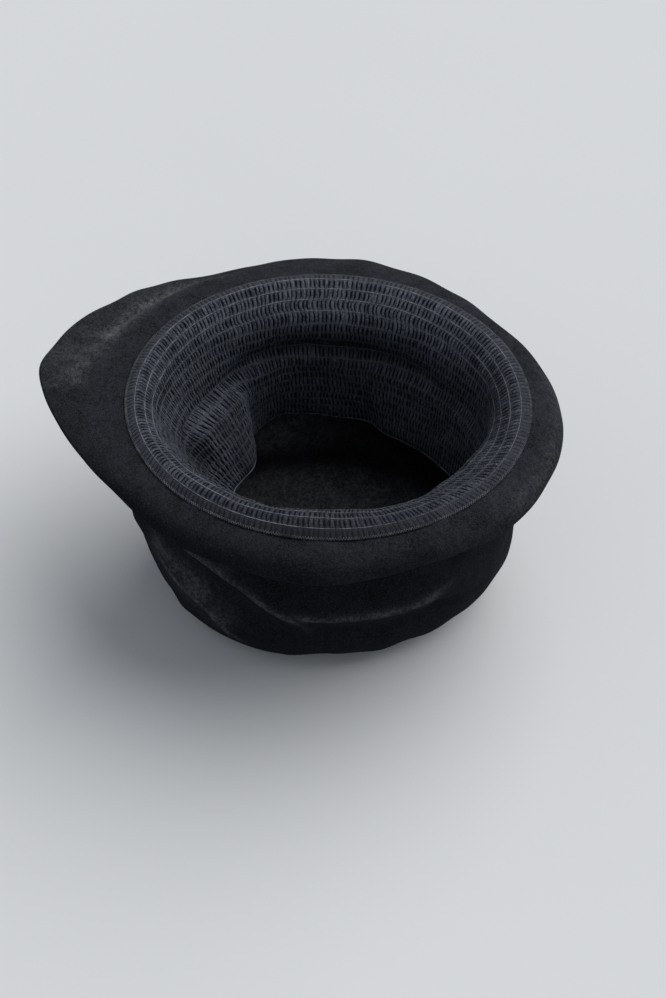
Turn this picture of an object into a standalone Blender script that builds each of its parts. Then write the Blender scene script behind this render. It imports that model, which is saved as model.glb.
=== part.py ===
"""Soft fur-felt cloche hat, lying on its crown with the opening up.

One felt body holds the crown and the brim. A wide shirred cloth band is sewn to the underside of the
brim and hangs down inside the crown. Metres, +Z up, z = 0 where the felt rests. The peak, which is
the front, points to -X and the back of the hat to +X, and the far side is +Y. Angles are in degrees,
from the back towards the far side.
"""

from collections import namedtuple

import bpy
import numpy as np

# Thicknesses, and the clearance between the two pieces
FELT_THICKNESS = 0.0025
BAND_THICKNESS = 0.0015
BAND_GAP = 0.0006

# The oval where the band is sewn to the brim
RING_HALF_LENGTH = 0.115
RING_HALF_WIDTH = 0.102
RING_HEIGHT = 0.146

# Half sizes of the crown's outer face at each height, and the rows of facets up to the next level
Level = namedtuple("Level", "name height back far front near rows")
LEVELS = (
    Level("tip_flat", 0.000, 0.052, 0.046, 0.060, 0.048, 1),
    Level("tip_edge", 0.003, 0.074, 0.064, 0.084, 0.065, 2),
    Level("shoulder", 0.017, 0.100, 0.077, 0.107, 0.083, 3),
    Level("wall_low", 0.042, 0.112, 0.083, 0.114, 0.088, 4),
    Level("wall_mid", 0.078, 0.112, 0.084, 0.114, 0.088, 3),
    Level("neck", 0.113, 0.103, 0.082, 0.106, 0.079, 2),
    Level("roll_in", 0.135, 0.101, 0.081, 0.102, 0.078, 3),
    Level("crest", 0.1465, 0.108, 0.093, 0.109, 0.089, 2),
    Level("ring", RING_HEIGHT, RING_HALF_LENGTH, RING_HALF_WIDTH, RING_HALF_LENGTH, RING_HALF_WIDTH, 2),
)
LEVEL_NAMES = [level.name for level in LEVELS]
ROLL_ROW = LEVEL_NAMES.index("roll_in")
RING_ROW = LEVEL_NAMES.index("ring")

# The brim's roll past the ring: shares of its reach and of its drop, and rows of facets up to the next
Roll = namedtuple("Roll", "reach drop rows")
BRIM_ROLL = (Roll(0.50, 0.22, 2), Roll(0.87, 0.64, 1), Roll(0.99, 1.15, 0))

# Columns of facets from one angle to the next: closer together over the folds
Zone = namedtuple("Zone", "start end columns")
COLUMN_ZONES = (Zone(0, 150, 21), Zone(150, 200, 10), Zone(200, 320, 34), Zone(320, 360, 6))

# The brim's edge: how far it reaches past the ring and how far it drops below it, by angle
Station = namedtuple("Station", "angle reach drop")
BRIM_EDGE = (
    Station(0, 0.0172, 0.0100),
    Station(25, 0.0170, 0.0100),
    Station(42, 0.0130, 0.0080),
    Station(60, 0.0174, 0.0080),
    Station(90, 0.0256, 0.0080),
    Station(110, 0.0230, 0.0074),
    Station(117, 0.0222, 0.0080),
    Station(123, 0.0256, 0.0080),
    Station(135, 0.0286, 0.0050),
    Station(150, 0.0362, 0.0010),
    Station(164, 0.0464, -0.0020),
    Station(172, 0.0492, -0.0035),
    Station(179, 0.0512, -0.0040),
    Station(186, 0.0434, -0.0030),
    Station(196, 0.0344, -0.0010),
    Station(207, 0.0264, 0.0010),
    Station(220, 0.0186, 0.0060),
    Station(235, 0.0163, 0.0100),
    Station(255, 0.0144, 0.0115),
    Station(275, 0.0148, 0.0125),
    Station(300, 0.0116, 0.0105),
    Station(325, 0.0156, 0.0105),
    Station(345, 0.0162, 0.0105),
)

# How far the roll at the mouth is pushed in, by angle: a hand pressed it at the back of the near side
Push = namedtuple("Push", "angle depth")
ROLL_PUSH = (
    Push(0, 0.0035),
    Push(20, 0.0),
    Push(150, 0.0),
    Push(280, 0.0),
    Push(305, 0.003),
    Push(322, 0.007),
    Push(340, 0.008),
)
PUSHED_LEVELS = ("neck", "roll_in")

# Folds: three points by angle and height on the crown, or by angle and share of the brim's width, how
# far the fold stands out, and its half widths on the side towards the brim's edge and on the other
Fold = namedtuple("Fold", "name angle_1 at_1 angle_2 at_2 angle_3 at_3 rise above below")
CROWN_FOLDS = (
    Fold("lapping_ridge", 222, 0.0900, 249, 0.0790, 269, 0.0465, 0.0044, 0.0130, 0.0075),
    Fold("valley_under_ridge", 219, 0.0740, 243, 0.0635, 263, 0.0340, -0.0050, 0.0085, 0.0110),
    Fold("lower_ridge", 214, 0.0560, 234, 0.0410, 250, 0.0180, 0.0024, 0.0090, 0.0080),
    Fold("near_lip", 267, 0.0640, 285, 0.0630, 319, 0.072, 0.0044, 0.0110, 0.0070),
    Fold("recess_under_lip", 268, 0.0440, 290, 0.0440, 324, 0.053, -0.0050, 0.0090, 0.0130),
    Fold("low_swell", 216, 0.0260, 242, 0.0150, 276, 0.013, 0.0036, 0.0180, 0.0180),
    Fold("swell_under_peak", 172, 0.0820, 190, 0.0740, 206, 0.066, 0.0056, 0.0220, 0.0220),
    Fold("hollow_under_brim", 246, 0.1060, 270, 0.0960, 300, 0.098, -0.0022, 0.0140, 0.0140),
)
BRIM_FOLDS = (
    Fold("peak_ridge", 167, 0.42, 145, 0.42, 117, 0.56, 0.0046, 0.0110, 0.0080),
    Fold("peak_crease", 165, 0.20, 145, 0.19, 124, 0.22, -0.0016, 0.0070, 0.0070),
)
FOLD_SAMPLES = 24
FOLD_END_SHARE = 0.2

# The band's free edge, by angle: its height, and how far it hangs in from the felt
Hang = namedtuple("Hang", "angle height lean")
FREE_EDGE = (
    Hang(0, 0.050, 0.020),
    Hang(20, 0.051, 0.019),
    Hang(35, 0.052, 0.021),
    Hang(55, 0.054, 0.019),
    Hang(72, 0.054, 0.0145),
    Hang(80, 0.053, 0.0070),
    Hang(90, 0.052, 0.0045),
    Hang(101, 0.052, 0.0025),
    Hang(111, 0.053, 0.0035),
    Hang(119, 0.0515, 0.0085),
    Hang(127, 0.0520, 0.0175),
    Hang(134, 0.0550, 0.0290),
    Hang(140, 0.0590, 0.0420),
    Hang(152, 0.060, 0.0530),
    Hang(166, 0.060, 0.0552),
    Hang(178, 0.061, 0.0545),
    Hang(205, 0.060, 0.0480),
    Hang(230, 0.055, 0.0330),
    Hang(270, 0.050, 0.0160),
    Hang(300, 0.050, 0.0220),
    Hang(322, 0.052, 0.0260),
    Hang(342, 0.052, 0.0240),
)

# How stiffly the hanging cloth leaves the roll and the free edge, and samples along it
PULL_AT_ROLL = 0.030
PULL_AT_FREE_EDGE = 0.7
HANGING_SAMPLES = 40

# The crease half way down the band, by angle: its length of cloth from the ring, the depth of its
# groove, and how far the ledge below it and the lip above it stand away from the felt
Crease = namedtuple("Crease", "angle length_from_ring groove ledge lip")
CREASES = (
    Crease(0, 0.054, 0.0004, 0.0010, 0.0),
    Crease(30, 0.053, 0.0006, 0.0022, 0.0006),
    Crease(55, 0.051, 0.0008, 0.0040, 0.0018),
    Crease(80, 0.048, 0.0006, 0.0052, 0.0030),
    Crease(105, 0.048, 0.0006, 0.0056, 0.0032),
    Crease(125, 0.052, 0.0014, 0.0064, 0.0024),
    Crease(142, 0.055, 0.0022, 0.0080, 0.0010),
    Crease(158, 0.056, 0.0026, 0.0090, 0.0006),
    Crease(172, 0.057, 0.0030, 0.0066, 0.0),
    Crease(184, 0.058, 0.0034, -0.0040, 0.0),
    Crease(198, 0.058, 0.0012, 0.0, 0.0),
    Crease(230, 0.056, 0.0004, 0.0, 0.0),
    Crease(290, 0.054, 0.0004, 0.0, 0.0),
)
GROOVE_WIDTH = 0.0070
LIP_ABOVE = 0.016
LIP_WIDTH = 0.011
LEDGE_RISE = 0.0120
LEDGE_FALL = 0.052

# Rows of facets of the hanging cloth below the crease, as shares of its length there, and the rows from
# the ledge up to the roll, as lengths of cloth below the crease
SHARES_BELOW = (1.0, 0.74, 0.48)
LENGTHS_FROM_CREASE = (0.0130, 0.0, -0.0120)


def periodic(table, column, angles):
    """Smooth closed curve through one column of a table."""
    known = np.array([row.angle for row in table], float)
    values = np.array([getattr(row, column) for row in table], float)
    count = len(known)
    degrees = np.degrees(angles) % 360.0
    after = np.searchsorted(known, degrees, side="right")
    index = np.stack([after - 2, after - 1, after, after + 1])
    x = known[index % count] + 360.0 * np.floor_divide(index, count)
    y = values[index % count]
    span = x[2] - x[1]
    slope_start = (y[2] - y[0]) / (x[2] - x[0]) * span
    slope_end = (y[3] - y[1]) / (x[3] - x[1]) * span
    return hermite(y[1], y[2], slope_start, slope_end, (degrees - x[1]) / span)


def hermite(start, end, slope_start, slope_end, t):
    """Cubic from start to end as t goes from 0 to 1."""
    return (
        (2 * t**3 - 3 * t**2 + 1) * start
        + (t**3 - 2 * t**2 + t) * slope_start
        + (3 * t**2 - 2 * t**3) * end
        + (t**3 - t**2) * slope_end
    )


def column_angles():
    """Angles of the columns of facets, once round."""
    spans = [np.linspace(zone.start, zone.end, zone.columns, endpoint=False) for zone in COLUMN_ZONES]
    return np.radians(np.concatenate(spans))


def level_row(level, angles):
    """Points of the outer face at one level: an oval whose four half sizes differ."""
    cosine, sine = np.cos(angles), np.sin(angles)
    x = np.where(cosine >= 0, level.back, level.front) * cosine
    y = np.where(sine >= 0, level.far, level.near) * sine
    if level.name in PUSHED_LEVELS:
        kept = 1.0 - periodic(ROLL_PUSH, "depth", angles) / np.hypot(x, y)
        x, y = x * kept, y * kept
    return np.stack([x, y, np.full_like(x, level.height)], -1)


def control_rows(angles):
    """The rows that the outer face passes through, from the flat tip to the brim's edge."""
    rows = [level_row(level, angles) for level in LEVELS]
    outward = np.stack([np.cos(angles) / RING_HALF_LENGTH, np.sin(angles) / RING_HALF_WIDTH], -1)
    outward /= np.linalg.norm(outward, axis=-1, keepdims=True)
    reach = outward * periodic(BRIM_EDGE, "reach", angles)[:, None]
    drop = periodic(BRIM_EDGE, "drop", angles)[:, None]
    ring = rows[RING_ROW]
    rows += [ring + np.hstack([reach * roll.reach, -drop * roll.drop]) for roll in BRIM_ROLL]
    return np.array(rows)


def on_rows(rows, place):
    """Catmull-Rom curve through the control rows, at a place of its own for each column."""
    last = len(rows) - 1
    place = np.broadcast_to(np.asarray(place, float), rows.shape[1:2])
    start = np.clip(np.floor(place).astype(int), 0, last - 1)
    t = (place - start)[:, None]
    column = np.arange(rows.shape[1])
    before = rows[np.maximum(start - 1, 0), column]
    here = rows[start, column]
    there = rows[start + 1, column]
    beyond = rows[np.minimum(start + 2, last), column]
    return hermite(here, there, (there - before) / 2, (beyond - here) / 2, t)


def at_height(rows, heights):
    """The point of each column of the crown's wall at its own height, and its place."""
    places = np.linspace(1.0, ROLL_ROW, 60)
    track = np.array([on_rows(rows, place)[:, 2] for place in places])
    found = [np.interp(height, track[:, i], places) for i, height in enumerate(heights)]
    return on_rows(rows, np.array(found))


def fold_path(fold, on_brim):
    """Points along a fold on the smooth felt."""
    t = np.linspace(0.0, 1.0, FOLD_SAMPLES)
    weights = np.stack([(1 - t) * (1 - 2 * t), 4 * t * (1 - t), t * (2 * t - 1)])
    angles = np.radians(np.array([fold.angle_1, fold.angle_2, fold.angle_3]) @ weights)
    at = np.array([fold.at_1, fold.at_2, fold.at_3]) @ weights
    rows = control_rows(angles)
    if on_brim:
        return on_rows(rows, RING_ROW + len(BRIM_ROLL) * at)
    return at_height(rows, at)


def fold_rise(points, fold, on_brim):
    """How far a fold lifts each point of the felt."""
    path = fold_path(fold, on_brim)
    start, along = path[:-1], path[1:] - path[:-1]
    best = np.full(points.shape[:-1], np.inf)
    share = np.zeros(points.shape[:-1])
    side = np.zeros(points.shape[:-1])
    for index, (origin, step) in enumerate(zip(start, along)):
        rel = points - origin
        t = np.clip(rel @ step / (step @ step), 0.0, 1.0)
        off = rel - t[..., None] * step
        distance = np.linalg.norm(off, axis=-1)
        nearer = distance < best
        best = np.where(nearer, distance, best)
        share = np.where(nearer, (index + t) / len(along), share)
        if on_brim:
            outward = (off[..., :2] * points[..., :2]).sum(-1)
        else:
            outward = off[..., 2]
        side = np.where(nearer, outward, side)
    ends = np.clip(np.minimum(share, 1.0 - share) / FOLD_END_SHARE, 0.0, 1.0)
    ends = ends**2 * (3.0 - 2.0 * ends)
    width = np.where(side >= 0, fold.above, fold.below)
    return fold.rise * ends * np.exp(-((best / width) ** 2))


def normals_of(grid):
    """Unit normals of a grid that closes on itself round the hat; they point out of the crown."""
    round_hat = np.roll(grid, -1, axis=1) - np.roll(grid, 1, axis=1)
    up_profile = np.gradient(grid, axis=0)
    normal = np.cross(round_hat, up_profile)
    return normal / np.linalg.norm(normal, axis=-1, keepdims=True)


def felt_grid(angles):
    """Rows of the felt's outer face with its folds, and the index of the roll's and the ring's row."""
    rows = control_rows(angles)
    counts = [level.rows for level in LEVELS] + [roll.rows for roll in BRIM_ROLL[:-1]]
    places = [level + step / count for level, count in enumerate(counts) for step in range(count)]
    smooth = np.array([on_rows(rows, place) for place in places + [len(counts)]])
    rise = np.zeros(smooth.shape[:2])
    for fold in CROWN_FOLDS:
        rise += fold_rise(smooth, fold, on_brim=False)
    for fold in BRIM_FOLDS:
        rise += fold_rise(smooth, fold, on_brim=True)
    folded = smooth + normals_of(smooth) * rise[..., None]
    folded[..., 2] = np.maximum(folded[..., 2], 0.0)
    folded[0] = smooth[0]
    return folded, places.index(ROLL_ROW), places.index(RING_ROW)


def crease_lift(from_ring, length, angles):
    """How far the creased cloth stands in from its plain hanging line, by length of cloth."""
    below = from_ring - periodic(CREASES, "length_from_ring", angles)
    groove = np.exp(-((below / GROOVE_WIDTH) ** 2)) * periodic(CREASES, "groove", angles)
    lip = np.exp(-(((below + LIP_ABOVE) / LIP_WIDTH) ** 2)) * periodic(CREASES, "lip", angles)
    rising = np.clip(below / LEDGE_RISE, 0.0, 1.0)
    falling = np.clip((length - from_ring) / LEDGE_FALL, 0.0, 1.0)
    ledge = rising**2 * (3.0 - 2.0 * rising) * falling**0.7 * periodic(CREASES, "ledge", angles)
    return ledge + lip - groove


def band_grid(felt, roll_row, ring_row, angles):
    """Rows of the band's outer face, from its free edge up to the ring."""
    offset = felt - normals_of(felt) * (FELT_THICKNESS + BAND_GAP)
    lying = offset[roll_row : ring_row + 1]
    roll = lying[0]
    tangent = offset[roll_row + 1] - offset[roll_row - 1]
    tangent /= np.linalg.norm(tangent, axis=-1, keepdims=True)
    wall = at_height(control_rows(angles), periodic(FREE_EDGE, "height", angles))
    inward = -wall * (1.0, 1.0, 0.0)
    inward /= np.linalg.norm(inward, axis=-1, keepdims=True)
    clearance = FELT_THICKNESS + BAND_GAP + periodic(FREE_EDGE, "lean", angles)
    free = wall + inward * clearance[:, None]
    pull = (roll - free) * PULL_AT_FREE_EDGE
    share = np.arange(HANGING_SAMPLES + 1) / HANGING_SAMPLES
    line = np.array([hermite(roll, free, -tangent * PULL_AT_ROLL, -pull, t) for t in share])
    steps = np.linalg.norm(np.diff(line, axis=0), axis=-1)
    on_roll = np.linalg.norm(np.diff(lying, axis=0), axis=-1).sum(0)
    length = on_roll + np.vstack([np.zeros(len(angles)), np.cumsum(steps, axis=0)])
    crease = periodic(CREASES, "length_from_ring", angles)
    wanted = [crease + below * (length[-1] - crease) for below in SHARES_BELOW]
    wanted += [crease + below for below in LENGTHS_FROM_CREASE]
    hanging = np.empty((len(wanted), len(angles), 3))
    for column in range(len(angles)):
        for axis in range(3):
            hanging[:, column, axis] = np.interp(
                [row[column] for row in wanted], length[:, column], line[:, column, axis]
            )
    grid = np.array([*hanging, *lying])
    lift = np.zeros(grid.shape[:2])
    lift[: len(wanted)] = crease_lift(np.array(wanted), length[-1], angles)
    return grid - normals_of(grid) * lift[..., None]


def shell_faces(rows, columns):
    """Faces of a closed-round shell whose outer grid's points come first and its inner grid's after."""
    shift = rows * columns
    faces = []
    for row in range(rows - 1):
        for i in range(columns):
            j = (i + 1) % columns
            low, high = row * columns, (row + 1) * columns
            faces.append((low + i, low + j, high + j, high + i))
            faces.append((shift + high + i, shift + high + j, shift + low + j, shift + low + i))
    return faces


def rim_faces(row, rows, columns, upper):
    """Faces that close the shell along its upper or its lower rim."""
    outer, inner = row * columns, (rows + row) * columns
    faces = []
    for i in range(columns):
        j = (i + 1) % columns
        face = (outer + i, outer + j, inner + j, inner + i)
        faces.append(face if upper else face[::-1])
    return faces


def material(name, colour, roughness):
    made = bpy.data.materials.new(name)
    made.use_nodes = True
    shader = made.node_tree.nodes["Principled BSDF"]
    shader.inputs["Base Color"].default_value = (*colour, 1.0)
    shader.inputs["Roughness"].default_value = roughness
    shader.inputs["Metallic"].default_value = 0.0
    return made


def add_object(name, points, faces, finish):
    mesh = bpy.data.meshes.new(name)
    mesh.from_pydata(points.tolist(), [], faces)
    mesh.materials.append(finish)
    mesh.shade_smooth()
    bpy.context.scene.collection.objects.link(bpy.data.objects.new(name, mesh))


def add_felt_body(outer):
    """Crown and brim in one: outer face, inner face, the brim's cut edge and the closed tip."""
    rows, columns = outer.shape[:2]
    inner = outer - normals_of(outer) * FELT_THICKNESS
    inner[0, :, 2] = FELT_THICKNESS
    tip = [[0.0, 0.0, 0.0], [0.0, 0.0, FELT_THICKNESS]]
    points = np.concatenate([outer.reshape(-1, 3), inner.reshape(-1, 3), tip])
    shift = rows * columns
    faces = shell_faces(rows, columns) + rim_faces(rows - 1, rows, columns, upper=True)
    for i in range(columns):
        j = (i + 1) % columns
        faces.append((2 * shift, j, i))
        faces.append((2 * shift + 1, shift + i, shift + j))
    add_object("felt_body", points, faces, material("black_felt", (0.012, 0.012, 0.013), 0.95))


def add_shirred_band(outer):
    """The cloth tube inside: sewn at the ring, open at both ends."""
    rows, columns = outer.shape[:2]
    inner = outer - normals_of(outer) * BAND_THICKNESS
    points = np.concatenate([outer.reshape(-1, 3), inner.reshape(-1, 3)])
    faces = shell_faces(rows, columns)
    faces += rim_faces(rows - 1, rows, columns, upper=True)
    faces += rim_faces(0, rows, columns, upper=False)
    add_object("shirred_band", points, faces, material("navy_band_cloth", (0.03, 0.035, 0.05), 0.8))


def main():
    for old in list(bpy.data.objects):
        bpy.data.objects.remove(old, do_unlink=True)
    angles = column_angles()
    felt, roll_row, ring_row = felt_grid(angles)
    add_felt_body(felt)
    add_shirred_band(band_grid(felt, roll_row, ring_row, angles))


main()
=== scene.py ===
from collections import namedtuple

import bpy
import numpy as np
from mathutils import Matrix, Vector


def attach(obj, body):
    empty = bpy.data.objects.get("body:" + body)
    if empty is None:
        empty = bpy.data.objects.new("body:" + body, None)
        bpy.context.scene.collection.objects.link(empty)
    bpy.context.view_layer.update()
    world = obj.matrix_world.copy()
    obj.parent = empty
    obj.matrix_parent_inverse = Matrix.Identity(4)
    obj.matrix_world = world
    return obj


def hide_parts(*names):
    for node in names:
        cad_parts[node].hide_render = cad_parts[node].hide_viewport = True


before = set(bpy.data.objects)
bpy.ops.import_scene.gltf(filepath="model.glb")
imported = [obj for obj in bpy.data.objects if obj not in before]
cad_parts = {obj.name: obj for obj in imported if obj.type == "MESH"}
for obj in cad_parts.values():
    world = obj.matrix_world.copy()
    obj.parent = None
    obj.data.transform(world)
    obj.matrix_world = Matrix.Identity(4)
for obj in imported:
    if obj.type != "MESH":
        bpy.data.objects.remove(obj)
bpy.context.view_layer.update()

# The felt body: crown and brim in one piece of blocked fur felt, steamed over a block and brushed to
# a soft nap. The brim rolls up and over round the mouth and runs out to a point at the front.
# The crown is worn soft: it has sunk into a few slanting folds under the brim.

FELT_THICKNESS = 0.0025
RING_HALF_LENGTH = 0.115
RING_HALF_WIDTH = 0.102
RING_HEIGHT = 0.146

# Half sizes of the crown's outer face at each height, mesh rows up to the next level, and how many
# of those rows the inner face skips
Level = namedtuple("Level", "name height back far front near rows inner_step")
LEVELS = (
    Level("tip_flat", 0.000, 0.052, 0.046, 0.060, 0.048, 4, 1),
    Level("tip_edge", 0.003, 0.074, 0.064, 0.084, 0.065, 12, 2),
    Level("shoulder", 0.017, 0.100, 0.077, 0.107, 0.083, 16, 2),
    Level("wall_low", 0.042, 0.112, 0.083, 0.114, 0.088, 24, 4),
    Level("wall_mid", 0.078, 0.112, 0.084, 0.114, 0.088, 20, 4),
    Level("neck", 0.113, 0.103, 0.082, 0.106, 0.079, 12, 4),
    Level("roll_in", 0.135, 0.101, 0.081, 0.102, 0.078, 8, 2),
    Level("crest", 0.1465, 0.108, 0.093, 0.109, 0.089, 6, 1),
    Level("ring", RING_HEIGHT, RING_HALF_LENGTH, RING_HALF_WIDTH, RING_HALF_LENGTH, RING_HALF_WIDTH, 12, 1),
)
LEVEL_NAMES = [level.name for level in LEVELS]
ROLL_ROW = LEVEL_NAMES.index("roll_in")
RING_ROW = LEVEL_NAMES.index("ring")

# The brim's roll past the ring: shares of its reach and of its drop, and mesh rows up to the next
Roll = namedtuple("Roll", "reach drop rows")
BRIM_ROLL = (Roll(0.50, 0.22, 12), Roll(0.87, 0.64, 10), Roll(0.99, 1.15, 0))

# Mesh columns from one angle to the next: closer together over the folds
Zone = namedtuple("Zone", "start end columns")
COLUMN_ZONES = (Zone(0, 196, 146), Zone(196, 330, 190), Zone(330, 360, 24))

# The brim's edge: how far it reaches past the ring and how far it drops below it, by angle
Station = namedtuple("Station", "angle reach drop")
BRIM_EDGE = (
    Station(0, 0.0172, 0.0100),
    Station(25, 0.0153, 0.0100),
    Station(42, 0.0114, 0.0080),
    Station(60, 0.0157, 0.0080),
    Station(90, 0.0237, 0.0080),
    Station(110, 0.0219, 0.0074),
    Station(117, 0.0222, 0.0080),
    Station(123, 0.0262, 0.0080),
    Station(135, 0.0312, 0.0050),
    Station(150, 0.0368, 0.0010),
    Station(164, 0.0454, -0.0020),
    Station(172, 0.0481, -0.0035),
    Station(179, 0.0512, -0.0040),
    Station(186, 0.0457, -0.0030),
    Station(196, 0.0362, -0.0010),
    Station(207, 0.0271, 0.0010),
    Station(220, 0.0186, 0.0060),
    Station(235, 0.0163, 0.0100),
    Station(255, 0.0144, 0.0115),
    Station(275, 0.0148, 0.0125),
    Station(300, 0.0116, 0.0105),
    Station(325, 0.0156, 0.0105),
    Station(345, 0.0162, 0.0105),
)

# How far the roll at the mouth is pushed in, by angle
Push = namedtuple("Push", "angle depth")
ROLL_PUSH = (
    Push(0, 0.0035),
    Push(20, 0.0),
    Push(150, 0.0),
    Push(280, 0.0),
    Push(305, 0.003),
    Push(322, 0.007),
    Push(340, 0.008),
)
PUSHED_LEVELS = ("neck", "roll_in")

# Folds: three points by angle and height on the crown, or by angle and share of the brim's width, how
# far the fold stands out, and its half widths on the side towards the brim's edge and on the other
Fold = namedtuple("Fold", "name angle_1 at_1 angle_2 at_2 angle_3 at_3 rise above below")
CROWN_FOLDS = (
    Fold("lapping_ridge", 222, 0.0900, 249, 0.0790, 269, 0.0465, 0.0052, 0.0120, 0.0036),
    Fold("valley_under_ridge", 219, 0.0740, 243, 0.0635, 263, 0.0340, -0.0046, 0.0060, 0.0110),
    Fold("lower_ridge", 214, 0.0560, 234, 0.0410, 250, 0.0180, 0.0028, 0.0070, 0.0034),
    Fold("near_lip", 267, 0.0640, 285, 0.0630, 319, 0.072, 0.0042, 0.0110, 0.0042),
    Fold("recess_under_lip", 268, 0.0460, 290, 0.0460, 324, 0.055, -0.0048, 0.0070, 0.0130),
    Fold("pinch", 266, 0.0740, 269, 0.0560, 270, 0.040, 0.0026, 0.0032, 0.0032),
    Fold("low_swell", 216, 0.0260, 242, 0.0150, 276, 0.013, 0.0036, 0.0180, 0.0180),
    Fold("swell_under_peak", 172, 0.0820, 190, 0.0740, 206, 0.066, 0.0056, 0.0220, 0.0220),
    Fold("hollow_under_brim", 246, 0.1060, 270, 0.0960, 300, 0.098, -0.0022, 0.0140, 0.0140),
)
BRIM_FOLDS = (
    Fold("peak_ridge", 167, 0.42, 145, 0.42, 117, 0.56, 0.0046, 0.0110, 0.0034),
    Fold("peak_crease", 165, 0.25, 145, 0.24, 124, 0.30, -0.0020, 0.0032, 0.0050),
)

# Rubbed places, where the nap is worn light, partly painted highlights on fold crests and lit slopes: laid
# out like the folds, with a share in place of the rise
CROWN_RUBS_AND_HIGHLIGHTS = (
    Fold("ridge_upper", 212, 0.0960, 231, 0.0930, 250, 0.0840, 0.30, 0.0060, 0.0040),
    Fold("ridge_crest", 224, 0.0890, 251, 0.0775, 272, 0.0420, 0.80, 0.0024, 0.0015),
    Fold("lower_crest", 212, 0.0580, 234, 0.0415, 252, 0.0160, 0.60, 0.0020, 0.0014),
    Fold("lip_crest", 264, 0.0640, 282, 0.0640, 320, 0.0740, 0.75, 0.0028, 0.0018),
    Fold("left_patch", 208, 0.0720, 224, 0.0620, 240, 0.0500, 0.42, 0.0085, 0.0085),
    Fold("lower_left", 206, 0.0620, 226, 0.0480, 250, 0.0300, 0.36, 0.0160, 0.0140),
)
BRIM_RUBS_AND_HIGHLIGHTS = (
    Fold("peak_strip", 167, 0.33, 149, 0.36, 120, 0.47, 1.20, 0.0066, 0.0040),
    Fold("peak_tail", 186, 0.44, 174, 0.37, 160, 0.34, 0.36, 0.0070, 0.0050),
    Fold("peak_back", 178, 0.55, 156, 0.72, 132, 0.85, 0.13, 0.0120, 0.0120),
    Fold("peak_point", 186, 0.60, 178, 0.70, 170, 0.60, 0.20, 0.0160, 0.0160),
    Fold("right_crest", 320, 0.62, 352, 0.66, 395, 0.70, 0.22, 0.0060, 0.0060),
)

# Painted shade under the lapping ridge and under the near lip: laid out like the rubs
SHADE_UNDER_FOLDS = (
    Fold("under_ridge", 221, 0.0835, 248, 0.0705, 267, 0.0385, 0.50, 0.0035, 0.0060),
    Fold("under_lip", 266, 0.0570, 286, 0.0565, 322, 0.0660, 0.50, 0.0030, 0.0050),
)
FOLD_SAMPLES = 24
FOLD_END_SHARE = 0.2
HEIGHT_SAMPLES = 60


def fade_in(value, start, length):
    """0 up to start, then evenly up to 1 over the given length."""
    return np.clip((value - start) / length, 0.0, 1.0)


def soft_step(share):
    """The same share from 0 to 1, with a soft start and a soft end."""
    return share**2 * (3.0 - 2.0 * share)


def bell(offset, spread):
    """1 in the middle, falling off softly to both sides."""
    return np.exp(-((offset / spread) ** 2))


def all_round(count):
    """Evenly spaced angles round the hat."""
    return np.arange(count) * 2.0 * np.pi / count


def unit(vectors):
    """The same directions with a length of 1."""
    return vectors / np.linalg.norm(vectors, axis=-1, keepdims=True)


def hermite(start, end, slope_start, slope_end, t):
    """Cubic from start to end as t goes from 0 to 1."""
    return (
        (2 * t**3 - 3 * t**2 + 1) * start
        + (t**3 - 2 * t**2 + t) * slope_start
        + (3 * t**2 - 2 * t**3) * end
        + (t**3 - t**2) * slope_end
    )


def periodic(table, column, angles):
    """Smooth closed curve through one column of a table."""
    known = np.array([row.angle for row in table], float)
    values = np.array([getattr(row, column) for row in table], float)
    count = len(known)
    degrees = np.degrees(angles) % 360.0
    after = np.searchsorted(known, degrees, side="right")
    index = np.stack([after - 2, after - 1, after, after + 1])
    x = known[index % count] + 360.0 * np.floor_divide(index, count)
    y = values[index % count]
    span = x[2] - x[1]
    slope_start = (y[2] - y[0]) / (x[2] - x[0]) * span
    slope_end = (y[3] - y[1]) / (x[3] - x[1]) * span
    return hermite(y[1], y[2], slope_start, slope_end, (degrees - x[1]) / span)


def level_row(level, angles):
    """Points of the outer face at one level: an oval whose four half sizes differ."""
    cosine, sine = np.cos(angles), np.sin(angles)
    x = np.where(cosine >= 0, level.back, level.front) * cosine
    y = np.where(sine >= 0, level.far, level.near) * sine
    if level.name in PUSHED_LEVELS:
        kept = 1.0 - periodic(ROLL_PUSH, "depth", angles) / np.hypot(x, y)
        x, y = x * kept, y * kept
    return np.stack([x, y, np.full_like(x, level.height)], -1)


def control_rows(angles):
    """The rows that the felt's outer face passes through, from the flat tip to the brim's edge."""
    rows = [level_row(level, angles) for level in LEVELS]
    outward = np.stack([np.cos(angles) / RING_HALF_LENGTH, np.sin(angles) / RING_HALF_WIDTH], -1)
    reach = unit(outward) * periodic(BRIM_EDGE, "reach", angles)[:, None]
    drop = periodic(BRIM_EDGE, "drop", angles)[:, None]
    ring = rows[RING_ROW]
    rows += [ring + np.hstack([reach * roll.reach, -drop * roll.drop]) for roll in BRIM_ROLL]
    return np.array(rows)


def on_rows(rows, place):
    """Catmull-Rom curve through the control rows, at a place of its own for each column."""
    last = len(rows) - 1
    place = np.broadcast_to(np.asarray(place, float), rows.shape[1:2])
    start = np.clip(np.floor(place).astype(int), 0, last - 1)
    t = (place - start)[:, None]
    column = np.arange(rows.shape[1])
    before = rows[np.maximum(start - 1, 0), column]
    here = rows[start, column]
    there = rows[start + 1, column]
    beyond = rows[np.minimum(start + 2, last), column]
    return hermite(here, there, (there - before) / 2, (beyond - here) / 2, t)


def at_height(rows, heights):
    """The point of each column of the crown's wall at its own height."""
    places = np.linspace(1.0, ROLL_ROW, HEIGHT_SAMPLES)
    track = np.array([on_rows(rows, place)[:, 2] for place in places])
    found = [np.interp(height, track[:, i], places) for i, height in enumerate(heights)]
    return on_rows(rows, np.array(found))


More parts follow.
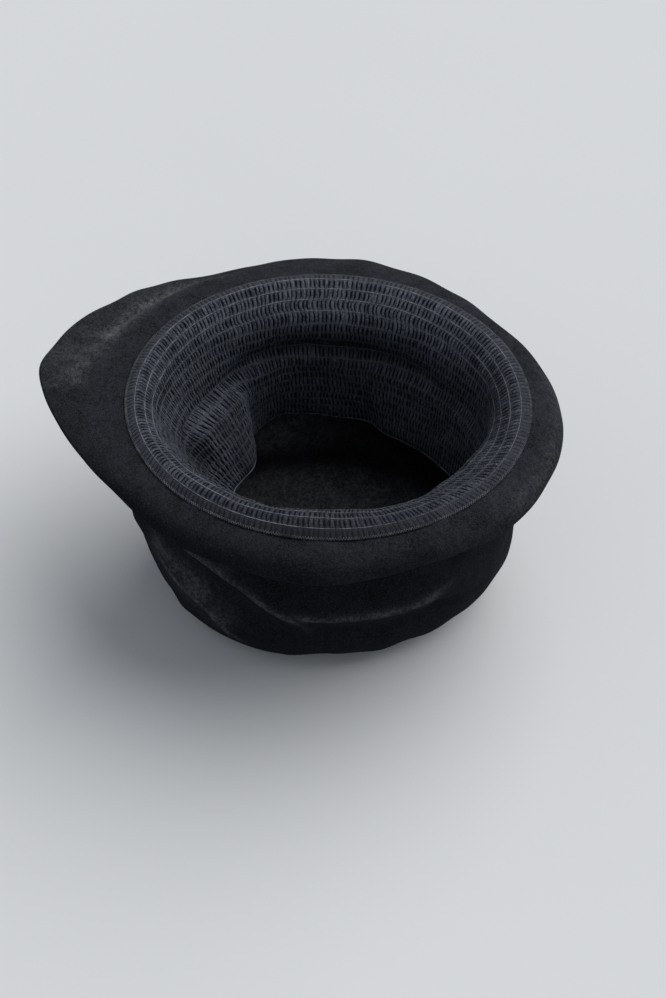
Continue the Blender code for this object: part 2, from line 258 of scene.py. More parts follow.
def fold_path(fold, on_brim):
    """Points along a fold on the smooth felt."""
    t = np.linspace(0.0, 1.0, FOLD_SAMPLES)
    weights = np.stack([(1 - t) * (1 - 2 * t), 4 * t * (1 - t), t * (2 * t - 1)])
    angles = np.radians(np.array([fold.angle_1, fold.angle_2, fold.angle_3]) @ weights)
    at = np.array([fold.at_1, fold.at_2, fold.at_3]) @ weights
    rows = control_rows(angles)
    if on_brim:
        return on_rows(rows, RING_ROW + len(BRIM_ROLL) * at)
    return at_height(rows, at)


def fold_rise(points, fold, on_brim):
    """How far a fold lifts each point of the felt."""
    path = fold_path(fold, on_brim)
    start, along = path[:-1], path[1:] - path[:-1]
    best = np.full(points.shape[:-1], np.inf)
    share = np.zeros(points.shape[:-1])
    side = np.zeros(points.shape[:-1])
    for index, (origin, step) in enumerate(zip(start, along)):
        rel = points - origin
        t = np.clip(rel @ step / (step @ step), 0.0, 1.0)
        off = rel - t[..., None] * step
        distance = np.linalg.norm(off, axis=-1)
        nearer = distance < best
        best = np.where(nearer, distance, best)
        share = np.where(nearer, (index + t) / len(along), share)
        if on_brim:
            outward = (off[..., :2] * points[..., :2]).sum(-1)
        else:
            outward = off[..., 2]
        side = np.where(nearer, outward, side)
    ends = soft_step(fade_in(np.minimum(share, 1.0 - share), 0.0, FOLD_END_SHARE))
    width = np.where(side >= 0, fold.above, fold.below)
    return fold.rise * ends * bell(best, width)


def laid_over(points, folds, on_brim=False):
    """What the folds of one table, or its rubs, come to at each point of the felt."""
    return sum(fold_rise(points, fold, on_brim) for fold in folds)


def normals_of(grid):
    """Unit normals of a grid that closes on itself round the hat; they point out of the crown."""
    round_hat = np.roll(grid, -1, axis=1) - np.roll(grid, 1, axis=1)
    up_profile = np.gradient(grid, axis=0)
    return unit(np.cross(round_hat, up_profile))


def unevenness(points, seed, wavelengths, heights, waves=5):
    """Soft irregular swells of hand-worked cloth: seeded sine waves laid over one another."""
    draw = np.random.default_rng(seed)
    total = np.zeros(points.shape[:-1])
    for wavelength, height in zip(wavelengths, heights):
        for _ in range(waves):
            direction = draw.normal(size=3)
            direction *= 2.0 * np.pi / (wavelength * np.linalg.norm(direction))
            phase = draw.uniform(0.0, 2.0 * np.pi)
            total += height / np.sqrt(waves) * np.sin(points @ direction + phase)
    return total


def grid_faces(rows, columns):
    """Four-sided faces between rows that each close on themselves, wound to face outwards."""
    row, i = np.meshgrid(np.arange(rows - 1), np.arange(columns), indexing="ij")
    j = (i + 1) % columns
    low, high = row * columns, (row + 1) * columns
    return np.stack([low + i, low + j, high + j, high + i], -1).reshape(-1, 4)


def smooth_mesh(name, points, faces):
    """A smoothly shaded mesh of the given points and faces."""
    mesh = bpy.data.meshes.new(name)
    mesh.from_pydata(points.reshape(-1, 3).tolist(), [], faces)
    mesh.shade_smooth()
    mesh.update()
    return mesh


def skin_mesh(name, strip, first_pole, last_pole):
    """Mesh of rows that each close round the hat, joined in order, with a pole to close each end."""
    rows, columns = strip.shape[:2]
    first, last, low = rows * columns, rows * columns + 1, (rows - 1) * columns
    faces = grid_faces(rows, columns).tolist()
    faces += [[first, (k + 1) % columns, k] for k in range(columns)]
    faces += [[last, low + k, low + (k + 1) % columns] for k in range(columns)]
    return smooth_mesh(name, np.concatenate([strip.reshape(-1, 3), [first_pole, last_pole]]), faces)


def add_piece(name, mesh, finish):
    """A piece of the hat with its finish, riding on the hat."""
    mesh.materials.append(finish)
    piece = bpy.data.objects.new(name, mesh)
    bpy.context.scene.collection.objects.link(piece)
    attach(piece, "root")
    return piece


def store_share(mesh, name, values):
    """Keeps one number for each point of the mesh, for its material to read."""
    padded = np.zeros(len(mesh.vertices), np.float32)
    padded[: values.size] = values.reshape(-1)
    mesh.attributes.new(name, "FLOAT", "POINT").data.foreach_set("value", padded)


felt_angles = np.radians(
    np.concatenate([np.linspace(z.start, z.end, z.columns, endpoint=False) for z in COLUMN_ZONES])
)
felt_rows = control_rows(felt_angles)
felt_counts = [level.rows for level in LEVELS] + [roll.rows for roll in BRIM_ROLL[:-1]]
felt_places = [at + step / count for at, count in enumerate(felt_counts) for step in range(count)]
felt_places.append(len(felt_counts))
felt_smooth = np.array([on_rows(felt_rows, place) for place in felt_places])
felt_rise = laid_over(felt_smooth, CROWN_FOLDS) + laid_over(felt_smooth, BRIM_FOLDS, on_brim=True)
felt_wear_and_highlight = laid_over(felt_smooth, CROWN_RUBS_AND_HIGHLIGHTS) + laid_over(felt_smooth, BRIM_RUBS_AND_HIGHLIGHTS, on_brim=True)
felt_wear_and_highlight = np.clip(felt_wear_and_highlight, 0.0, 1.0)
felt_under_fold_shade = laid_over(felt_smooth, SHADE_UNDER_FOLDS)

# Swells of the hand-shaped felt, none of them where it rests on the floor
FELT_SEED = 11
FELT_SWELL_LENGTHS = (0.060, 0.028, 0.014)
FELT_SWELL_HEIGHTS = (0.0005, 0.0003, 0.00015)
SWELL_ABOVE_FLOOR = 0.012
above_floor = fade_in(felt_smooth[..., 2], 0.0, SWELL_ABOVE_FLOOR)
felt_rise += unevenness(felt_smooth, FELT_SEED, FELT_SWELL_LENGTHS, FELT_SWELL_HEIGHTS) * above_floor
felt_outer = felt_smooth + normals_of(felt_smooth) * felt_rise[..., None]
felt_outer[..., 2] = np.maximum(felt_outer[..., 2], 0.0)
felt_outer[0] = felt_smooth[0]

felt_normals = normals_of(felt_outer)
felt_inner = felt_outer - felt_normals * FELT_THICKNESS
felt_inner[0, :, 2] = FELT_THICKNESS
inner_kept, place_index = [], 0
for level in LEVELS:
    inner_kept += range(place_index, place_index + level.rows, level.inner_step)
    place_index += level.rows
for roll in BRIM_ROLL:
    inner_kept += range(place_index, place_index + roll.rows)
    place_index += roll.rows
inner_kept.append(place_index)

# The cut edge of the brim is softly rounded over half the felt's thickness
EDGE_TURNS = (0.2, 0.5, 0.8)
edge_middle = (felt_outer[-1] + felt_inner[-1]) / 2
edge_out = unit(felt_outer[-1] - felt_outer[-2])
edge_rows = [
    edge_middle
    + (felt_outer[-1] - edge_middle) * np.cos(np.pi * turn)
    + edge_out * FELT_THICKNESS / 2 * np.sin(np.pi * turn)
    for turn in EDGE_TURNS
]

# The tip: rings of points between the flat and its middle, on the inside with a few soft dents
TIP_RINGS = (0.12, 0.30, 0.50, 0.70, 0.86)
TIP_INSIDE = FELT_THICKNESS + 0.0006
TIP_SEED = 5
TIP_SWELL_LENGTHS = (0.030, 0.012)
TIP_SWELL_HEIGHTS = (0.0004, 0.0001)
tip_outer = felt_outer[0] * np.array(TIP_RINGS)[:, None, None]
tip_inner = felt_inner[0] * np.array(TIP_RINGS)[:, None, None]
tip_inner[..., 2] = TIP_INSIDE
tip_inner[..., 2] += unevenness(tip_inner, TIP_SEED, TIP_SWELL_LENGTHS, TIP_SWELL_HEIGHTS)

felt_strip = np.concatenate(
    [tip_outer, felt_outer, np.array(edge_rows), felt_inner[inner_kept][::-1], tip_inner[::-1]]
)
felt_mesh = skin_mesh("felt", felt_strip, (0.0, 0.0, 0.0), (0.0, 0.0, TIP_INSIDE))


def over_felt(outside, inside, tip_outside, tip_inside):
    """One share for each point of the felt, in the order of its rows of points."""
    return np.concatenate(
        [
            np.full(tip_outer.shape[:2], tip_outside),
            outside,
            np.repeat(inside[-1:], len(EDGE_TURNS), 0),
            inside[inner_kept][::-1],
            np.full(tip_inner.shape[:2], tip_inside),
        ]
    )


# Worn nap with painted highlights: the rubs, and inside the crown a lighter tip and a painted highlight on
# the wall's bulge
TIP_FUZZ = 0.48
TIP_FUZZ_TOP, TIP_FUZZ_FADE = 0.004, 0.008
# Painted highlight on the bulge of the crown's inner wall
WALL_PAINTED_LIGHT = 0.80
WALL_LIGHT_FROM, WALL_LIGHT_FADE = 0.016, 0.012
WALL_BULGE, BULGE_SPREAD = 118.0, 24.0
first_brim_row = sum(level.rows for level in LEVELS[:RING_ROW])
wear_and_light_inside = felt_wear_and_highlight.copy()
felt_degrees = np.degrees(felt_angles)
on_tip = 1.0 - fade_in(felt_outer[..., 2], TIP_FUZZ_TOP, TIP_FUZZ_FADE)
on_wall = fade_in(felt_outer[..., 2], WALL_LIGHT_FROM, WALL_LIGHT_FADE)
on_wall = on_wall * bell(felt_degrees - WALL_BULGE, BULGE_SPREAD)
fuzz_and_light_inside = np.maximum(TIP_FUZZ * on_tip, WALL_PAINTED_LIGHT * on_wall)
wear_and_light_inside[:first_brim_row] = fuzz_and_light_inside[:first_brim_row]
felt_wear_and_highlight[first_brim_row:] = 0.0
store_share(felt_mesh, "wear_and_highlight", over_felt(felt_wear_and_highlight, wear_and_light_inside, 0.0, TIP_FUZZ))

# Painted shade: the nap is darkened over the whole outside of the crown, more under its folds; inside the
# crown away from the tip and the wall's bulge; and on the near side of the brim, most towards its edge
FELT_SHADE_INSIDE = 1.5
FELT_SHADE_NEAR, FELT_SHADE_LOW, LOW_FROM = 0.48, 1.14, 0.45
NEAR_MIDDLE, NEAR_SPREAD = 236.0, 56.0
shade_inside = FELT_SHADE_INSIDE * (1.0 - np.maximum(on_tip, on_wall))
brim_share = fade_in(np.array(felt_places)[:, None], RING_ROW, len(BRIM_ROLL[1:]))
near_brim = bell(felt_degrees - NEAR_MIDDLE, NEAR_SPREAD)
shade_brim = near_brim * (FELT_SHADE_NEAR + FELT_SHADE_LOW * fade_in(brim_share, LOW_FROM, 1.0 - LOW_FROM))
shade_inside[first_brim_row:] = shade_brim[first_brim_row:]
store_share(felt_mesh, "painted_shade", over_felt(1.0 + felt_under_fold_shade, shade_inside, 1.0, 0.0))


NODES_IN_COLUMN, NODE_WIDTH, NODE_HEIGHT = 6, 200, 260


def node_in(tree, kind, **settings):
    """Adds a node, below or to the right of the last one, and sets its properties."""
    column, line = divmod(len(tree.nodes), NODES_IN_COLUMN)
    node = tree.nodes.new("ShaderNode" + kind)
    node.location = (column * NODE_WIDTH, -line * NODE_HEIGHT)
    for key, value in settings.items():
        setattr(node, key, value)
    return node


def new_finish(name):
    """An empty material with its Principled shader."""
    made = bpy.data.materials.new(name)
    made.use_nodes = True
    shader = made.node_tree.nodes["Principled BSDF"]
    shader.inputs["Metallic"].default_value = 0.0
    return made, made.node_tree, shader


def stored(tree, name):
    """Reads a number that the mesh keeps for each of its points."""
    return node_in(tree, "Attribute", attribute_name=name).outputs["Fac"]


RANGE_INPUTS = ("From Min", "From Max", "To Min", "To Max")


def remap(tree, value, low, high, to_low=0.0, to_high=1.0):
    """Stretches a value from one range to another."""
    node = node_in(tree, "MapRange")
    for name, number in zip(RANGE_INPUTS, (low, high, to_low, to_high)):
        node.inputs[name].default_value = number
    tree.links.new(value, node.inputs["Value"])
    return node.outputs["Result"]


# The sockets of a Mix node that are for colours
MIX_SHARE, MIX_FIRST, MIX_SECOND, MIX_RESULT = 0, 6, 7, 2


def mix_colour(tree, share, first, second):
    """Blends two colours, each a socket or a plain colour."""
    node = node_in(tree, "Mix", data_type="RGBA")
    tree.links.new(share, node.inputs[MIX_SHARE])
    for index, colour in ((MIX_FIRST, first), (MIX_SECOND, second)):
        if isinstance(colour, tuple):
            node.inputs[index].default_value = (*colour, 1.0)
        else:
            tree.links.new(colour, node.inputs[index])
    return node.outputs[MIX_RESULT]


def maths(tree, operation, first, second):
    """One arithmetic step on sockets or numbers."""
    node = node_in(tree, "Math", operation=operation)
    for socket, value in zip(node.inputs, (first, second)):
        if isinstance(value, (int, float)):
            socket.default_value = value
        else:
            tree.links.new(value, socket)
    return node.outputs["Value"]


def bump(tree, height, distance, strength, under=None):
    """A bump from a height socket, laid over another one."""
    node = node_in(tree, "Bump")
    node.inputs["Strength"].default_value = strength
    node.inputs["Distance"].default_value = distance
    tree.links.new(height, node.inputs["Height"])
    if under is not None:
        tree.links.new(under, node.inputs["Normal"])
    return node.outputs["Normal"]


def feed(tree, shader, colour, roughness, relief):
    """Gives the shader its colour, roughness and relief."""
    for name, value in (("Base Color", colour), ("Roughness", roughness), ("Normal", relief)):
        tree.links.new(value, shader.inputs[name])


def soft_surface(shader, sheen, sheen_roughness, sheen_tint, specular):
    """Cloth and felt have a faint sheen and hardly any gloss."""
    shader.inputs["Sheen Weight"].default_value = sheen
    shader.inputs["Sheen Roughness"].default_value = sheen_roughness
    shader.inputs["Sheen Tint"].default_value = (*sheen_tint, 1.0)
    shader.inputs["Specular IOR Level"].default_value = specular


# Grain, as of dye, nap, yarn or lint: a noise of its own size over the piece's metres, given as it is
# and as a share, where the part of the noise from low to high becomes least to most
Grain = namedtuple("Grain", "name scale detail roughness low high least most")
NOISE_INPUTS = ("Vector", "Scale", "Detail", "Roughness")
grain_group = bpy.data.node_groups.new("grain", "ShaderNodeTree")
for name in NOISE_INPUTS + RANGE_INPUTS:
    kind = "NodeSocketVector" if name == "Vector" else "NodeSocketFloat"
    grain_group.interface.new_socket(name, in_out="INPUT", socket_type=kind)
for name in ("Noise", "Share"):
    grain_group.interface.new_socket(name, in_out="OUTPUT", socket_type="NodeSocketFloat")
grain_in = grain_group.nodes.new("NodeGroupInput")
grain_noise = node_in(grain_group, "TexNoise")
grain_share = node_in(grain_group, "MapRange")
grain_out = grain_group.nodes.new("NodeGroupOutput")
grain_out.location = (NODE_WIDTH, 0)
for node, names in ((grain_noise, NOISE_INPUTS), (grain_share, RANGE_INPUTS)):
    for name in names:
        grain_group.links.new(grain_in.outputs[name], node.inputs[name])
grain_group.links.new(grain_noise.outputs["Fac"], grain_share.inputs["Value"])
grain_group.links.new(grain_noise.outputs["Fac"], grain_out.inputs["Noise"])
grain_group.links.new(grain_share.outputs["Result"], grain_out.inputs["Share"])


def place_grain(tree, place, grain):
    """Puts the grain into a material with its own values; gives its noise and its share."""
    node = node_in(tree, "Group", node_tree=grain_group)
    for name, number in zip(NOISE_INPUTS[1:] + RANGE_INPUTS, grain[1:]):
        node.inputs[name].default_value = number
    tree.links.new(place, node.inputs["Vector"])
    return node.outputs["Noise"], node.outputs["Share"]


# What each grain adds to the lightness of the nap, from broad clouds of dye to single fibres
FELT_GRAINS = (
    Grain("cloud", 34.0, 3.0, 0.55, 0.36, 0.64, 0.0, 0.28),
    Grain("suede", 120.0, 3.0, 0.60, 0.38, 0.62, 0.0, 0.18),
    Grain("mottle", 430.0, 3.0, 0.65, 0.38, 0.62, -0.07, 0.27),
    Grain("fibre", 1500.0, 3.0, 0.70, 0.38, 0.62, -0.09, 0.45),
)
# How far each grain breaks up the worn places and painted highlights: down to least where its noise is low
Break = namedtuple("Break", "grain low high least")
WEAR_AND_HIGHLIGHT_BREAKS = (
    Break("suede", 0.40, 0.60, 0.55),
    Break("mottle", 0.40, 0.60, 0.40),
    Break("fibre", 0.38, 0.60, 0.35),
)
# The relief of each grain: its depth in metres and how strongly it shows
Relief = namedtuple("Relief", "grain depth strength")
FELT_RELIEF = (Relief("suede", 0.0012, 0.5), Relief("mottle", 0.0006, 0.8), Relief("fibre", 0.00035, 0.8))
# The painted shade darkens the nap down to this share
FELT_SHADE_MOST, FELT_SHADED_NAP = 1.5, 0.25
SPECKS_FROM, SPECKS_TO = 0.54, 0.76
FELT_DARK = (0.0036, 0.0038, 0.0048)
FELT_MIDDLE = (0.0330, 0.0342, 0.0420)
FELT_LIGHT = (0.0430, 0.0445, 0.0540)
# The colour of worn nap and of the painted highlights
FELT_WEAR_AND_HIGHLIGHT = (0.1600, 0.1660, 0.1760)
FELT_SHEEN_TINT = (0.62, 0.64, 0.70)
FELT_ROUGHNESS = (0.3, 0.7, 0.80, 0.98)

black_felt, felt_tree, felt_shader = new_finish("black_fur_felt")
felt_at = node_in(felt_tree, "TexCoord").outputs["Object"]
felt_noise, nap = {}, 0.0
for grain in FELT_GRAINS:
    felt_noise[grain.name], share = place_grain(felt_tree, felt_at, grain)
    nap = maths(felt_tree, "ADD", nap, share)
# Painted shade darkens the nap
painted_shade = stored(felt_tree, "painted_shade")
shade_factor = remap(felt_tree, painted_shade, 0.0, FELT_SHADE_MOST, 1.0, FELT_SHADED_NAP)
nap = maths(felt_tree, "MULTIPLY", nap, shade_factor)
base = mix_colour(felt_tree, nap, FELT_DARK, FELT_MIDDLE)
specks = remap(felt_tree, felt_noise["fibre"], SPECKS_FROM, SPECKS_TO)
base = mix_colour(felt_tree, specks, base, FELT_LIGHT)
# Worn nap and painted highlights, broken up by the grain
wear_and_highlight = stored(felt_tree, "wear_and_highlight")
for name, low, high, least in WEAR_AND_HIGHLIGHT_BREAKS:
    kept = remap(felt_tree, felt_noise[name], low, high, least, 1.0)
    wear_and_highlight = maths(felt_tree, "MULTIPLY", wear_and_highlight, kept)
base = mix_colour(felt_tree, wear_and_highlight, base, FELT_WEAR_AND_HIGHLIGHT)
felt_roughness = remap(felt_tree, felt_noise["mottle"], *FELT_ROUGHNESS)
felt_relief = None
for name, depth, strength in FELT_RELIEF:
    felt_relief = bump(felt_tree, felt_noise[name], depth, strength, felt_relief)
feed(felt_tree, felt_shader, base, felt_roughness, felt_relief)
soft_surface(felt_shader, sheen=0.025, sheen_roughness=0.45, sheen_tint=FELT_SHEEN_TINT, specular=0.06)

felt_body = add_piece("felt_body_napped", felt_mesh, black_felt)
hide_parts("felt_body")

# The band inside: a strip of slate-navy cotton, shirred on rows of light thread until it is gathered
# into fine ribs, then sewn by its outer edge to the brim. It lies over the roll of the mouth and
# hangs free inside the crown, like a funnel, with its selvedge as the lower edge.

BAND_THICKNESS = 0.0015
BAND_GAP = 0.0006
RIBS = 240
RIB_COLUMNS = 6
SHIRRING_ROWS = 18
ROWS_PER_SHIRRING = 3
RIB_RISE = 0.0009
PUCKER_DEPTH = 0.0003
RIB_WANDER = 0.24
BASE_COLUMNS = 720
HANGING_SAMPLES = 40
LYING_SAMPLES = 8
PULL_AT_ROLL = 0.030
PULL_AT_FREE_EDGE = 0.7

# The free edge, by angle: its height, and how far it hangs in from the felt
Hang = namedtuple("Hang", "angle height lean")
FREE_EDGE = (
    Hang(0, 0.050, 0.020),
    Hang(20, 0.051, 0.019),
    Hang(35, 0.052, 0.021),
    Hang(55, 0.054, 0.019),
    Hang(72, 0.054, 0.0145),
    Hang(80, 0.053, 0.0070),
    Hang(90, 0.052, 0.0045),
    Hang(101, 0.052, 0.0025),
    Hang(111, 0.053, 0.0035),
    Hang(119, 0.0515, 0.0085),
    Hang(127, 0.0520, 0.0175),
    Hang(134, 0.0550, 0.0290),
    Hang(140, 0.0590, 0.0420),
    Hang(152, 0.060, 0.0530),
    Hang(166, 0.060, 0.0552),
    Hang(178, 0.061, 0.0545),
    Hang(205, 0.060, 0.0480),
    Hang(230, 0.055, 0.0330),
    Hang(270, 0.050, 0.0160),
    Hang(300, 0.050, 0.0220),
    Hang(322, 0.052, 0.0260),
    Hang(342, 0.052, 0.0240),
)

base_angles = all_round(BASE_COLUMNS)
base_degrees = np.degrees(base_angles)
base_rows = control_rows(base_angles)
lying_steps = range(-1, LYING_SAMPLES * (RING_ROW - ROLL_ROW) + 2)
lying_places = [ROLL_ROW + step / LYING_SAMPLES for step in lying_steps]
lying = np.array([on_rows(base_rows, place) for place in lying_places])
lying = lying - normals_of(lying) * (FELT_THICKNESS + BAND_GAP)
roll_tangent = unit(lying[2] - lying[0])
lying = lying[1:-1]
free_wall = at_height(base_rows, periodic(FREE_EDGE, "height", base_angles))
inward = unit(-free_wall * (1.0, 1.0, 0.0))
clearance = FELT_THICKNESS + BAND_GAP + periodic(FREE_EDGE, "lean", base_angles)
free_edge = free_wall + inward * clearance[:, None]
pull = (lying[0] - free_edge) * PULL_AT_FREE_EDGE
hanging = [
    hermite(free_edge, lying[0], pull, roll_tangent * PULL_AT_ROLL, step / HANGING_SAMPLES)
    for step in range(HANGING_SAMPLES)
]
band_profile = np.array([*hanging, *lying])

# Mesh rows lie at equal lengths of cloth, so that the rows of thread are evenly spaced
steps = np.linalg.norm(np.diff(band_profile, axis=0), axis=-1)
length_so_far = np.vstack([np.zeros(BASE_COLUMNS), np.cumsum(steps, axis=0)])
band_length = length_so_far[-1]
mesh_rows = SHIRRING_ROWS * ROWS_PER_SHIRRING
row_share = np.arange(mesh_rows + 1) / mesh_rows
band_base = np.empty((mesh_rows + 1, BASE_COLUMNS, 3))
for column in range(BASE_COLUMNS):
    wanted, known = row_share * band_length[column], length_so_far[:, column]
    for axis in range(3):
        band_base[:, column, axis] = np.interp(wanted, known, band_profile[:, column, axis])


def round_band(grid, angles):
    """The base grid's rows read at other angles, row by row."""
    at = (angles % (2.0 * np.pi)) * BASE_COLUMNS / (2.0 * np.pi)
    low = np.floor(at).astype(int)
    share = (at - low)[..., None]
    row = np.arange(len(grid))[:, None]
    return grid[row, low % BASE_COLUMNS] * (1.0 - share) + grid[row, (low + 1) % BASE_COLUMNS] * share


# The crease: half way down, the cloth sinks into a groove and comes out again as a soft ledge; on the
# left the lower half stands away as a lobe, with a valley beside it
Crease = namedtuple("Crease", "angle length_from_ring groove ledge lip")
CREASES = (
    Crease(0, 0.054, 0.0004, 0.0010, 0.0),
    Crease(30, 0.053, 0.0006, 0.0022, 0.0006),
    Crease(55, 0.051, 0.0008, 0.0040, 0.0018),
    Crease(80, 0.048, 0.0006, 0.0052, 0.0030),
    Crease(105, 0.048, 0.0006, 0.0056, 0.0032),
    Crease(125, 0.052, 0.0014, 0.0064, 0.0024),
    Crease(142, 0.055, 0.0022, 0.0080, 0.0010),
    Crease(158, 0.056, 0.0026, 0.0090, 0.0006),
    Crease(172, 0.057, 0.0030, 0.0066, 0.0),
    Crease(184, 0.058, 0.0034, -0.0040, 0.0),
    Crease(198, 0.058, 0.0012, 0.0, 0.0),
    Crease(230, 0.056, 0.0004, 0.0, 0.0),
    Crease(290, 0.054, 0.0004, 0.0, 0.0),
)
GROOVE_WIDTH = 0.0050
LIP_ABOVE, LIP_WIDTH = 0.016, 0.011
LEDGE_FROM, LEDGE_RISE = 0.001, 0.0120
LEDGE_FALL, LEDGE_ROUNDING = 0.052, 0.7
from_ring = (1.0 - row_share)[:, None] * band_length
crease_at = from_ring - periodic(CREASES, "length_from_ring", base_angles)
groove = bell(crease_at, GROOVE_WIDTH) * periodic(CREASES, "groove", base_angles)
lip = bell(crease_at + LIP_ABOVE, LIP_WIDTH) * periodic(CREASES, "lip", base_angles)
rising = soft_step(fade_in(crease_at, LEDGE_FROM, LEDGE_RISE))
falling = fade_in(band_length - from_ring, 0.0, LEDGE_FALL) ** LEDGE_ROUNDING
ledge = rising * falling * periodic(CREASES, "ledge", base_angles)
CLOTH_SEED = 31
CLOTH_SWELL_LENGTHS = (0.045, 0.018)
CLOTH_SWELL_HEIGHTS = (0.0006, 0.0003)
SWELL_FROM_RING = 0.030
swell = unevenness(band_base, CLOTH_SEED, CLOTH_SWELL_LENGTHS, CLOTH_SWELL_HEIGHTS)
swell *= fade_in(from_ring, 0.0, SWELL_FROM_RING)
band_base = band_base - normals_of(band_base) * (ledge + lip - groove + swell)[..., None]
band_normals = normals_of(band_base)

# Each rib keeps its own place and height within one shirring row, and shifts a little to the next
RIB_SEED = 23
PUFF_LEAST, PUFF_MOST = 0.68, 1.15
SHALLOW_MOST = 0.36
FILLED_SHARE, FILLED_HEIGHT = 0.06, 0.70
each_rib = (SHIRRING_ROWS, RIBS)
draw = np.random.default_rng(RIB_SEED)
wander = draw.normal(0.0, RIB_WANDER / 2, each_rib)
wander = np.clip(wander, -RIB_WANDER, RIB_WANDER) + draw.uniform(-0.5, 0.5, (SHIRRING_ROWS, 1))
puff = draw.uniform(PUFF_LEAST, PUFF_MOST, each_rib)
shallow = draw.uniform(0.0, SHALLOW_MOST, each_rib)
shallow = np.where(draw.uniform(size=each_rib) < FILLED_SHARE, FILLED_HEIGHT, shallow)
tone_of_rib = draw.uniform(size=each_rib)
row_number = np.arange(mesh_rows + 1)
at_thread = row_number % ROWS_PER_SHIRRING == 0
shirring = np.minimum(row_number // ROWS_PER_SHIRRING, SHIRRING_ROWS - 1)
below = np.maximum(shirring - at_thread, 0)


def on_mesh_rows(values):
    """A value of each rib by mesh row: on a thread, the mean of the two rows of ribs that meet there."""
    return (values[shirring] + values[below]) / 2


def around(ribs):
    """The angle of a place that is counted in ribs."""
    return ribs * 2.0 * np.pi / RIBS


def signed(degrees):
    """The same angles from -180 to 180."""
    return (degrees + 180.0) % 360.0 - 180.0


# On the right, near the sewn edge, the gathers are pulled aslant
SLANT_RIBS, SLANT_ROWS = 6.0, 4.0
SLANT_MIDDLE, SLANT_SPREAD = -38.0, 32.0
rows_from_ring = (1.0 - row_share) * SHIRRING_ROWS
pulled = np.interp(rows_from_ring, (0.0, SLANT_ROWS, SHIRRING_ROWS), (0.0, SLANT_RIBS, 0.0))
slanting = bell(signed(np.arange(RIBS) * 360.0 / RIBS) - SLANT_MIDDLE, SLANT_SPREAD)
rib_start = on_mesh_rows(wander) + np.arange(RIBS) - pulled[:, None] * slanting
rib_end = np.roll(rib_start, -1, axis=1)
rib_end[:, -1] += RIBS

# Across a rib, its round top stands between two valleys that the cloth partly fills
SINGLE_ROUNDING, DOUBLE_ROUNDING = 0.78, 0.9
VALLEY_FILL = 0.9
across = np.arange(RIB_COLUMNS) / RIB_COLUMNS
rib_angles = rib_start[..., None] + (rib_end - rib_start)[..., None] * across
rib_angles = around(rib_angles.reshape(mesh_rows + 1, -1))
valley_lift = on_mesh_rows(shallow)
next_lift = np.roll(valley_lift, -1, axis=1)
floor_lift = valley_lift[..., None] * (1.0 - across) + next_lift[..., None] * across
single = np.maximum(np.sin(np.pi * across) ** SINGLE_ROUNDING, floor_lift * VALLEY_FILL)

# Where the cloth is drawn taut, the gathers lie shallow: near the sewn edge, most of all on the near
# side, over the lobe, and on the right
TAUT_AT_RING, TAUT_NEAR = 0.30, 0.28
TAUT_OVER_LOBE, TAUT_RIGHT = 0.74, 0.64
TAUT_FROM, TAUT_TO = 0.78, 0.94
NEAR_SIDE_MIDDLE, NEAR_SIDE_SPREAD = 268.0, 52.0
LOBE_MIDDLE, LOBE_SPREAD = 156.0, 15.0
LOBE_FROM_RING, LOBE_LENGTH = 0.058, 0.014
RIGHT_MIDDLE, RIGHT_SPREAD = 0.0, 46.0
RIGHT_FROM, RIGHT_FADE = 0.30, 0.30
TAUT_FLATTENS = 0.55
near_ring = fade_in(row_share, TAUT_FROM, TAUT_TO - TAUT_FROM)[:, None]
near_side = bell(base_degrees - NEAR_SIDE_MIDDLE, NEAR_SIDE_SPREAD)
over_lobe = fade_in(from_ring, LOBE_FROM_RING, LOBE_LENGTH) * bell(base_degrees - LOBE_MIDDLE, LOBE_SPREAD)
right_side = bell(signed(base_degrees) - RIGHT_MIDDLE, RIGHT_SPREAD)
taut_base = np.maximum((TAUT_AT_RING + TAUT_NEAR * near_side) * near_ring, TAUT_OVER_LOBE * over_lobe)
taut_right = TAUT_RIGHT * right_side * fade_in(row_share, RIGHT_FROM, RIGHT_FADE)[:, None]
taut = round_band(np.maximum(taut_base, taut_right)[..., None], rib_angles)[..., 0]

# Where the cloth is crowded, every second valley closes and two ribs become one
MERGED_BELOW, MERGED_FADE = 0.0019, 0.0004
rib_span = round_band(band_base, around(rib_end)) - round_band(band_base, around(rib_start))
rib_width = np.linalg.norm(rib_span, axis=-1)
partner_width = rib_width.reshape(mesh_rows + 1, -1, 2)[..., ::-1].reshape(rib_width.shape)
pair_width = (rib_width + partner_width) / 2
merged = fade_in(MERGED_BELOW - pair_width, 0.0, MERGED_FADE)[..., None]
pair_across = (across + (np.arange(RIBS) % 2)[:, None]) / 2
double = np.sin(np.pi * pair_across) ** DOUBLE_ROUNDING
rib_shape = on_mesh_rows(puff)[..., None] * (single * (1.0 - merged) + double * merged)
rib_shape = rib_shape.reshape(mesh_rows + 1, -1)

# The thread presses the ribs together, so each slit between two ribs closes at both of its ends; the
# outer strip, past the last thread, is pressed flat
PRESSED_HEIGHT, PRESSED_SHARE = 0.62, 0.26
FREE_EDGE_HEIGHT, STRIP_HEIGHT, SEWN_EDGE_HEIGHT = 0.5, 0.45, 0.30
rib_shape[at_thread] = PRESSED_HEIGHT + PRESSED_SHARE * rib_shape[at_thread]
outer_strip = row_number > mesh_rows - ROWS_PER_SHIRRING
pinch = np.where(outer_strip, STRIP_HEIGHT, 1.0)
pinch[0], pinch[-1] = FREE_EDGE_HEIGHT, SEWN_EDGE_HEIGHT

